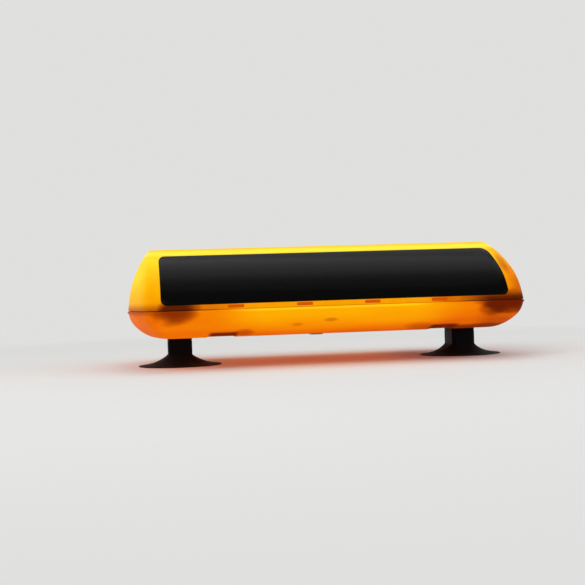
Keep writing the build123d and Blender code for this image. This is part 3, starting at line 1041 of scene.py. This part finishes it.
def tongue():
    """One hook, as a bevelled extrusion of its side view."""
    face = -HALF_DEPTH / MM + 4.9
    back = face + 2.4
    seam, tip = SEAM_Z / MM, HOOD_Z / MM + 6.2
    over = HOOK_LEAN * (tip - seam - 1)
    side = [(face + 0.2, seam - 6.5), (back + 1.4, seam - 6.5), (back + 1.4, seam - 1),
            (back + over - 0.3, tip - 0.3), (face + over + 0.6, tip),
            (face + HOOK_LEAN * 3.6 + 0.1, seam + 4.6),
            (face + HOOK_LEAN * 1.4 - 0.05, seam + 2.2), (face + 0.2, seam + 0.4)]
    bm = bmesh.new()
    caps = prism(bm, *([(x, y, z) for y, z in side] for x in (-HOOK_HALF_WIDTH, HOOK_HALF_WIDTH)))
    edges = list(dict.fromkeys(edge for cap in caps for edge in cap.edges))
    bmesh.ops.bevel(bm, geom=edges, offset=HOOK_BEVEL, segments=2, affect="EDGES")
    return as_object("tongue", bm)


row_piece("snap_hooks", tongue(), HOOKS, HOOK_STEP, hook_plastic, "pan_plastic",
          build=both_sides)

# %% [markdown]
# The seal is an extruded cord of soft rubber, laid on the rim once round. It is swept: a
# curve follows the outline of the seam, and Curve to Mesh carries a flat oval along it.

# %% Seal at the seam
SEAL_CORNERS = 12
SEAL_SECTION = (0.5 * MM, 1.5 * MM, 1.0)


def outline_curve(name, path):
    """Closed curve object through a front path and its rear half."""
    curve = bpy.data.curves.new(name, "CURVE")
    curve.dimensions = "3D"
    spline = curve.splines.new("POLY")
    places = closed(path)
    spline.points.add(len(places) - 1)
    for point, place in zip(spline.points, places):
        point.co = (*place, 1.0)
    spline.use_cyclic_u = True
    return new_object(name, curve)


def sweep(start, wires):
    """Tree that carries an oval section along a line."""
    ring = start.shape("CurvePrimitiveCircle", Resolution=wires["Corners"], Radius=1.0)
    section = start.shape("Transform", Geometry=ring, Scale=wires["Section"])
    return start.shape("CurveToMesh", Curve=wires["Line"], Profile_Curve=section, Fill_Caps=True)


seal_line = outline_curve("seal_line", seam_level(2.5, (SEAM_Z + HOOD_Z) / 2))
seal = grow("seal", {"Line": seal_line, "Corners": SEAL_CORNERS, "Section": SEAL_SECTION}, sweep)
finish_piece(seal, seal_rubber, "base", ["seal_strip"])

# %% [markdown]
# The feet carry the whole sign. A black post with flat sides ends in a rubber boot, and the
# boot holds a pot magnet: a nickel cup with a ring of ferrite, drawn up by one sunk screw.

# %% Feet
FOOT_X = (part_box("foot_post_right")[0].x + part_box("foot_post_right")[1].x) / 2 / MM
POST_HALF_X, POST_HALF_Y, POST_CORNER = 14.5, 20.0, 4.0
POST_TOP = PAN_Z / MM
# columns: how far the post is drawn in, height
POST_ROWS = [(0.6, 4.0), (0, 4.6), (0, POST_TOP - 5.4), (0.35, POST_TOP - 5.0),
             (0.35, POST_TOP - 4.4), (0, POST_TOP - 4.0), (0, POST_TOP - 0.5), (0.4, POST_TOP)]
# columns: radius or reach, height
CUP_ROWS = [(22.5, 4.0), (23.4, 4.0), (24.0, 3.4), (24.0, 0.4), (23.6, 0), (20.8, 0), (20.8, 1.2),
            (8.2, 1.2), (8.2, 0), (4.6, 0), (4.2, 0.4), (4.2, 2.0)]
FERRITE_ROWS = [(8.8, 1.4), (20.2, 1.4), (20.2, 0.4), (19.9, 0.15), (9.1, 0.15), (8.8, 0.4)]
BOOT_LIP = [(24.2, 3.6), (24.2, 0), (49.6, 0), (50.3, 0.25), (50.5, 0.6), (50.2, 0.95),
            (48.5, 1.15)]
BOOT_NECK = [(pad(15.6, 21.1, 5.1), 12.7), (pad(15.3, 20.8, 4.8), 13.0),
             (pad(14.5, 20.0, 4.0), 12.9), (pad(14.4, 19.9, 3.9), 10.0)]


def shrunk(by):
    """Reach of the post when it is drawn in all round."""
    return pad(POST_HALF_X - by, POST_HALF_Y - by, POST_CORNER - by)


def boot_rows():
    """Rings of the rubber boot: a round lip, a flare and a square neck."""
    rows = list(BOOT_LIP)
    for share in (0.2, 0.4, 0.6, 0.8):
        rows.append((48.5 - 13.5 * share, 1.15 + 2.4 * share ** 1.5))
    for step in range(11):
        share = step / 10
        sag = 1.6 * math.sin(math.pi * share)
        rows.append((pad(33.0 - 17.3 * share - sag, 34.0 - 12.8 * share - sag,
                         33.0 - 27.8 * share - sag), 3.8 + 8.3 * share))
    return rows + BOOT_NECK


upside_down = at(0, 0, 2.2) @ Matrix.Rotation(math.pi, 4, "X")
# columns: name, prototype, finish, slot, nodes that it stands for
FOOT_PIECES = [
    ("feet_posts", turned("post", [(shrunk(by), z) for by, z in POST_ROWS], 96),
     foot_plastic, "foot_plastic", ["foot_post_left", "foot_post_right"]),
    ("feet_boots", turned("boot", boot_rows(), 120), foot_rubber, "foot_rubber", ["foot_boots"]),
    ("feet_magnet_cups", turned("cup", CUP_ROWS, 72),
     magnet_steel, "magnet_steel", ["foot_magnets"]),
    ("feet_ferrite_rings", turned("ferrite_ring", FERRITE_ROWS, 72, hollow=True),
     ferrite, "magnet_steel", []),
    ("feet_screws", screw("sunk_screw", upside_down, 4.1, 1.8),
     screw_steel, "magnet_steel", []),
]
for name, prototype, material, slot_name, nodes in FOOT_PIECES:
    row_piece(name, prototype, 2, 2 * FOOT_X, material, slot_name, nodes)

# %% [markdown]
# Inside the pan a steel channel joins the feet, and a white dished tray lies on it. The tray
# is vacuum formed, so its wall is thin, its edges are soft and its rim is rolled outwards a
# little. Four screws hold it to the channel.

# %% Reflector tray
TRAY_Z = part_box("reflector_tray")[0].z / MM
# columns: inset from the seam's outline, height over the tray's underside
TRAY_ROWS = [(24.0, 1.5), (21.6, 1.6), (20.6, 2.1), (20.0, 3.0), (18.3, 7.0), (17.6, 7.7),
             (16.9, 8.0), (16.2, 8.0), (16.0, 7.7), (16.1, 7.3), (17.1, 6.6), (18.9, 1.4),
             (19.4, 0.4), (20.2, 0.0), (24.0, 0.0)]
tray = shell_object("tray", [
    scaled_path(HALF_LENGTH - inset * MM, HALF_DEPTH - inset * MM, (TRAY_Z + rise) * MM)
    for inset, rise in TRAY_ROWS])
finish_piece(tray, tray_white, "base", ["reflector_tray"])

# %% [markdown]
# The lamps are festoon lamps: a glass tube with a metal cap at each end, held between two
# brass blades. The glass has a real wall and round shoulders, and a coiled filament hangs in
# it. Each piece is drawn once about the lamp's own middle and set out three times.

# %% Lamps
TUBE_RADIUS = 5.25
LAMP_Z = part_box("lamp_bulb_centre")[0].z / MM + TUBE_RADIUS
HOLDER_LOW, HOLDER_HIGH = (corner.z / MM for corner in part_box("lamp_holder_centre"))
HOLDER_TALL = HOLDER_HIGH - HOLDER_LOW
BLADE_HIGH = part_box("lamp_blades_centre")[1].z / MM
BLADE_THICK = 0.8
BLADE_HALF_WIDTH = 5.0
RIVET_X = 25.6
LAMP_AXIS = at(0, 0, LAMP_Z) @ Matrix.Rotation(math.pi / 2, 4, "Y")
# columns: radius, place along the lamp
TUBE_END = [(TUBE_RADIUS, 11.6), (5.05, 13.0), (4.7, 13.9), (4.2, 14.4), (3.6, 14.5)]
TUBE_BORE = [(3.0, 14.2), (3.9, 13.6), (4.55, 12.4), (4.7, 11.4)]
CAP_ROWS = [(3.4, 13.9), (4.0, 13.9), (4.2, 14.2), (4.2, 15.0), (3.95, 15.3), (3.95, 17.4),
            (3.6, 18.2), (2.2, 19.3), (1.1, 20.2), (0.5, 20.5)]
RIVET_ROWS = [(2.1, 0), (2.1, 0.3), (1.7, 0.8), (0.9, 1.1)]
HOLDER_ROWS = [(pad(29.6, 9.6, 4.6), 0), (pad(30, 10, 5), 0.4), (pad(30, 10, 5), HOLDER_TALL - 0.6),
               (pad(29.4, 9.4, 4.4), HOLDER_TALL), (pad(16.0, 6.0, 3.0), HOLDER_TALL),
               (pad(15.4, 5.4, 2.6), HOLDER_TALL - 1.2)]


def mirrored(rows):
    """The same radii on the other end of the lamp."""
    return [(radius, -along) for radius, along in reversed(rows)]


def blades():
    """Two brass blades, bent out at the foot and dished where the lamp's tip rests."""
    upright = [(21.3, HOLDER_HIGH + 2.6), (21.3, LAMP_Z - 3), (21.6, LAMP_Z - 1.2),
               (21.6, LAMP_Z + 1.2), (21.3, LAMP_Z + 3), (21.3, BLADE_HIGH)]
    front = [(28.4, HOLDER_HIGH + BLADE_THICK), (22.6, HOLDER_HIGH + BLADE_THICK),
             (21.6, HOLDER_HIGH + 1.3)] + upright
    back = [(28.4, HOLDER_HIGH), (22.2, HOLDER_HIGH), (20.9, HOLDER_HIGH + 0.9)]
    back += [(x - BLADE_THICK, z) for x, z in upright]
    bm = bmesh.new()
    for side in (1, -1):
        ends = [[bm.verts.new(Vector((side * x, y, z)) * MM) for x, z in front + back[::-1]]
                for y in (-BLADE_HALF_WIDTH, BLADE_HALF_WIDTH)]
        bridge(bm, *ends)
        for end in ends:
            for low in range(len(front) - 1):
                bm.faces.new((end[low], end[low + 1], end[-low - 2], end[-low - 1]))
    return as_object("blades", bm)


def coil(start, wires):
    """Tree of the filament: a spiral of wire between its two supports."""
    spiral = start.shape("CurveSpiral", Resolution=wires["Points in a turn"],
                         Rotations=wires["Turns"], Start_Radius=wires["Coil"],
                         End_Radius=wires["Coil"], Height=wires["Length"])
    wire = start.shape("CurvePrimitiveCircle", Resolution=6, Radius=wires["Wire"])
    mesh = start.shape("CurveToMesh", Curve=spiral, Profile_Curve=wire, Fill_Caps=True)
    return start.shape("Transform", Geometry=mesh, Translation=wires["Place"],
                       Rotation=(0.0, math.pi / 2, 0.0))


FILAMENT = {"Points in a turn": 10, "Turns": 16.0, "Coil": 1.1 * MM, "Length": 18.0 * MM,
            "Wire": 0.22 * MM, "Place": (-9.0 * MM, 0.0, LAMP_Z * MM)}
tube_rows = mirrored(TUBE_END) + TUBE_END + TUBE_BORE + mirrored(TUBE_BORE)
cap_places = [LAMP_AXIS @ Matrix.Scale(side, 4, (0, 0, 1)) for side in (1, -1)]
rivet_places = [at(x, 0, HOLDER_HIGH + BLADE_THICK) for x in (-RIVET_X, RIVET_X)]
# columns: name, prototype, finish, slot, nodes that it stands for; a star is each of the three
LAMP_PIECES = [
    ("lamp_tubes", turned("tube_glass", tube_rows, 40, [LAMP_AXIS], True),
     bulb_glass, "bulb_glass", "lamp_bulb_*"),
    ("lamp_end_caps", turned("caps", CAP_ROWS, 40, cap_places), cap_metal, "cap_metal",
     "lamp_caps"),
    ("lamp_filaments", grow("filament", FILAMENT, coil), tungsten, "bulb_glass", ""),
    ("lamp_holders", turned("holder", HOLDER_ROWS, 96, [at(0, 0, HOLDER_LOW)]),
     holder_plastic, "holder_plastic", "lamp_holder_*"),
    ("lamp_contact_blades", blades(), brass, "brass", "lamp_blades_*"),
    ("lamp_rivets", turned("rivets", RIVET_ROWS, 28, rivet_places), brass, "brass", ""),
]
for name, prototype, material, slot_name, node in LAMP_PIECES:
    sides = ("left", "centre", "right") if "*" in node else ("",)
    nodes = [node.replace("*", side) for side in sides if node]
    row_piece(name, prototype, 3, LAMP_STEP, material, slot_name, nodes)

# %% [markdown]
# The terminal block joins the supply lead to the lamps. Its three towers have open wells, with
# a clamping screw down in each. Four more screws hold the tray to the steel channel.

# %% Terminal block and screws
block_low, block_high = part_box("terminal_block")
BLOCK = (block_low + block_high) / 2 / MM
BLOCK_Z = block_low.z / MM
WELL_STEP = 11.0
SCREW_SPAN = 352.0
BLOCK_ROWS = [(pad(16.6, 7.6, 0.8), 0), (pad(17, 8, 1.2), 0.4), (pad(17, 8, 1.2), 8.4),
              (pad(16.5, 7.5, 0.8), 9.0)]
TOWER_ROWS = [(pad(4, 6, 0.8), 8.6), (pad(4, 6, 0.8), 12.5), (pad(3.6, 5.6, 0.6), 13.0),
              (2.9, 13.0), (2.7, 12.6), (2.7, 9.6)]
block = turned("terminals", BLOCK_ROWS, 96, [at(BLOCK.x, BLOCK.y, BLOCK_Z)])
finish_piece(block, block_plastic, "base", ["terminal_block"])
tower = turned("tower", TOWER_ROWS, 64, [at(0, BLOCK.y, BLOCK_Z)])
well_screw = screw("well_screw", at(0, BLOCK.y, BLOCK_Z + 9.5), 2.4, 1.6)
tray_screw = screw("tray_screw", at(0, 0, TRAY_Z + 1.45), 3.6, 2.2)
first_well = BLOCK.x - WELL_STEP
row_piece("terminal_towers", tower, 3, WELL_STEP, block_plastic, "block_plastic", first=first_well)
row_piece("terminal_screws", well_screw, 3, WELL_STEP, screw_steel, "zinc_steel", first=first_well)
row_piece("tray_screws", tray_screw, 4, SCREW_SPAN / 3, screw_steel, "zinc_steel")

# %% [markdown]
# The lead would come in through the gland in the pan's floor. A gland is a hexagon nut, a
# ribbed collar and a soft insert round the hole. The ribs of the collar are one small prism in
# a ring of copies. The steel channel under the tray keeps its solid and only gets a finish.

# %% Cable gland and channel
gland_low, gland_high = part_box("cable_gland")
gland_place = at(0, (gland_low.y + gland_high.y) / 2 / MM, 0)
HEX_HIGH = PAN_Z / MM
HEX_LOW = HEX_HIGH - 4.0
COLLAR_LOW = HEX_LOW - 1.2
THREAD_PITCH = 1.5
RIBS = 30
COLLAR_RADIUS = 8.55
RIB_SIDE = [(-0.5, -0.5), (-0.25, 0.35), (0.25, 0.35), (0.5, -0.5)]
INSERT_ROWS = [(5.3, 3.0), (5.35, 0.9), (5.0, 0.35), (4.1, 0.35), (3.65, 0.9), (3.65, 3.0)]


def gland_rows():
    """Nut, collar, bore and threaded neck in one skin."""
    low, high = COLLAR_LOW, gland_high.z / MM
    nut = hexagon(11.0, 12.4)
    rows = [(5.4, low + 1.0), (5.9, low), (8.1, low), (8.6, low + 0.5), (8.6, HEX_LOW - 0.3),
            (9.0, HEX_LOW), (10.6, HEX_LOW), (nut, HEX_LOW + 0.7), (nut, HEX_HIGH - 0.7),
            (10.6, HEX_HIGH), (7.9, HEX_HIGH)]
    for turn in range(int((high - HEX_HIGH - 1.0) / THREAD_PITCH)):
        z = HEX_HIGH + 0.6 + turn * THREAD_PITCH
        rows += [(7.4, z), (7.95, z + 0.6), (7.95, z + 0.8)]
    return rows + [(7.3, high), (5.2, high), (3.9, high - 0.8), (3.9, low + 1.0)]


def rib():
    """Grip rib of the gland's collar."""
    bm = bmesh.new()
    prism(bm, *([(out, across, z) for across, out in RIB_SIDE]
                for z in (COLLAR_LOW + 0.4, HEX_LOW - 0.1)))
    return as_object("rib", bm)


gland = turned("gland", gland_rows(), 72, [gland_place], True)
finish_piece(gland, gland_black, "base", ["cable_gland"])
ribs = set_out("gland_ribs", rib(), RIBS, 0.0, COLLAR_RADIUS, 2 * math.pi / RIBS)
ribs.data.transform(gland_place)
finish_piece(ribs, gland_black, "base")
insert = turned("gland_insert", INSERT_ROWS, 48, [gland_place @ at(0, 0, COLLAR_LOW)], True)
finish_piece(insert, seal_rubber, "base")
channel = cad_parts["carrier_rail"]
channel.data.materials.clear()
channel.data.materials.append(zinc_steel)

# %% [markdown]
# The stage is plain: a pale floor that takes the shadow, and a pale surround that only the
# camera and the reflections see. Soft light from above and in front lets the plastics show
# their form without washing out their own glow.

# %% Floor, surround and lights
GROUND = rgba(224, 224, 223)
NEAR, FAR = 330.0, 1100.0
SURROUND_STRENGTH = 0.62
FLOOR_ROWS = [(9000, -60), (9000, -2), (8996, 0)]
# columns: name, place, size, power
LIGHTS = [("key", (-1.2, -1.3, 1.5), 1.5, 18.0), ("fill", (1.6, -0.9, 0.9), 1.5, 8.0),
          ("above", (0.2, 0.5, 2.0), 2.2, 13.0)]
AIM = Vector((0.0, 0.0, 0.08))


def floor_piece():
    """Large pale floor with a rounded edge, which fades into the colour of the surround."""
    floor = turned("floor", FLOOR_ROWS, 96)
    f = Finish("pale_floor")
    grain = f.noise(160.0, 3.0)
    f.close(Base_Color=grain.mix((225, 225, 224), (230, 230, 229)),
            Roughness=0.80 + grain * 0.10, Specular_IOR_Level=0.1,
            Normal=f.bump(grain, 0.0002, 0.2))
    tree = f.material.node_tree
    output = next(node for node in tree.nodes if node.type == "OUTPUT_MATERIAL")
    near = Wire(tree, output.inputs["Surface"].links[0].from_socket)
    far = f.start.shader("Emission", Color=GROUND)
    fade = (f.x * f.x + f.y * f.y).step(NEAR ** 2, FAR ** 2)
    both = f.start.shader("MixShader", None, {0: fade, 1: near, 2: far})
    tree.links.new(both.socket, output.inputs["Surface"])
    floor.data.materials.append(f.material)


def surround(strength):
    """World that shows a pale ground to the eye, in glass and in gloss, and gives soft light."""
    world = bpy.data.worlds.new("surround")
    world.use_nodes = True
    tree = world.node_tree
    tree.nodes.clear()
    start = Wire(tree, None)
    path = tree.nodes.new("ShaderNodeLightPath")
    seen = Wire(tree, path.outputs["Is Camera Ray"])
    for ray in ("Is Glossy Ray", "Is Transmission Ray"):
        seen = seen.math("MAXIMUM", seen, Wire(tree, path.outputs[ray]))
    back = start.shader("Background", Color=GROUND, Strength=1.0)
    soft = start.shader("Background", Strength=strength)
    both = start.shader("MixShader", None, {0: seen, 1: soft, 2: back})
    output = tree.nodes.new("ShaderNodeOutputWorld")
    tree.links.new(both.socket, output.inputs["Surface"])
    bpy.context.scene.world = world


floor_piece()
surround(SURROUND_STRENGTH)
for name, place, size, power in LIGHTS:
    softbox = bpy.data.lights.new(name, "AREA")
    softbox.size = size
    softbox.energy = power
    lamp = new_object(name, softbox)
    lamp.location = place
    lamp.rotation_euler = (AIM - Vector(place)).to_track_quat("-Z", "Y").to_euler()
print("lights", [light[0] for light in LIGHTS])

# %% [markdown]
# The photograph was taken from just above the height of the seam, a little to the left, with
# the camera turned slightly. These values come from fitting the sign's outline to it.

# %% Camera
CAMERA_PLACE = Vector((-0.220, -1.330, 0.0845))
CAMERA_LENS = 66.35
YAW, PITCH, ROLL = (math.radians(value) for value in (7.91, 0.01, -1.86))

lens = bpy.data.cameras.new("camera")
lens.lens = CAMERA_LENS
lens.sensor_width = 36.0
lens.clip_start = 0.05
camera = new_object("camera", lens)
camera.matrix_world = (Matrix.Translation(CAMERA_PLACE) @ Matrix.Rotation(-YAW, 4, "Z")
                       @ Matrix.Rotation(math.pi / 2 + PITCH, 4, "X")
                       @ Matrix.Rotation(ROLL, 4, "Z"))
bpy.context.scene.camera = camera
bpy.context.scene.view_settings.view_transform = "Standard"
print("lens", CAMERA_LENS, "at", list(CAMERA_PLACE))
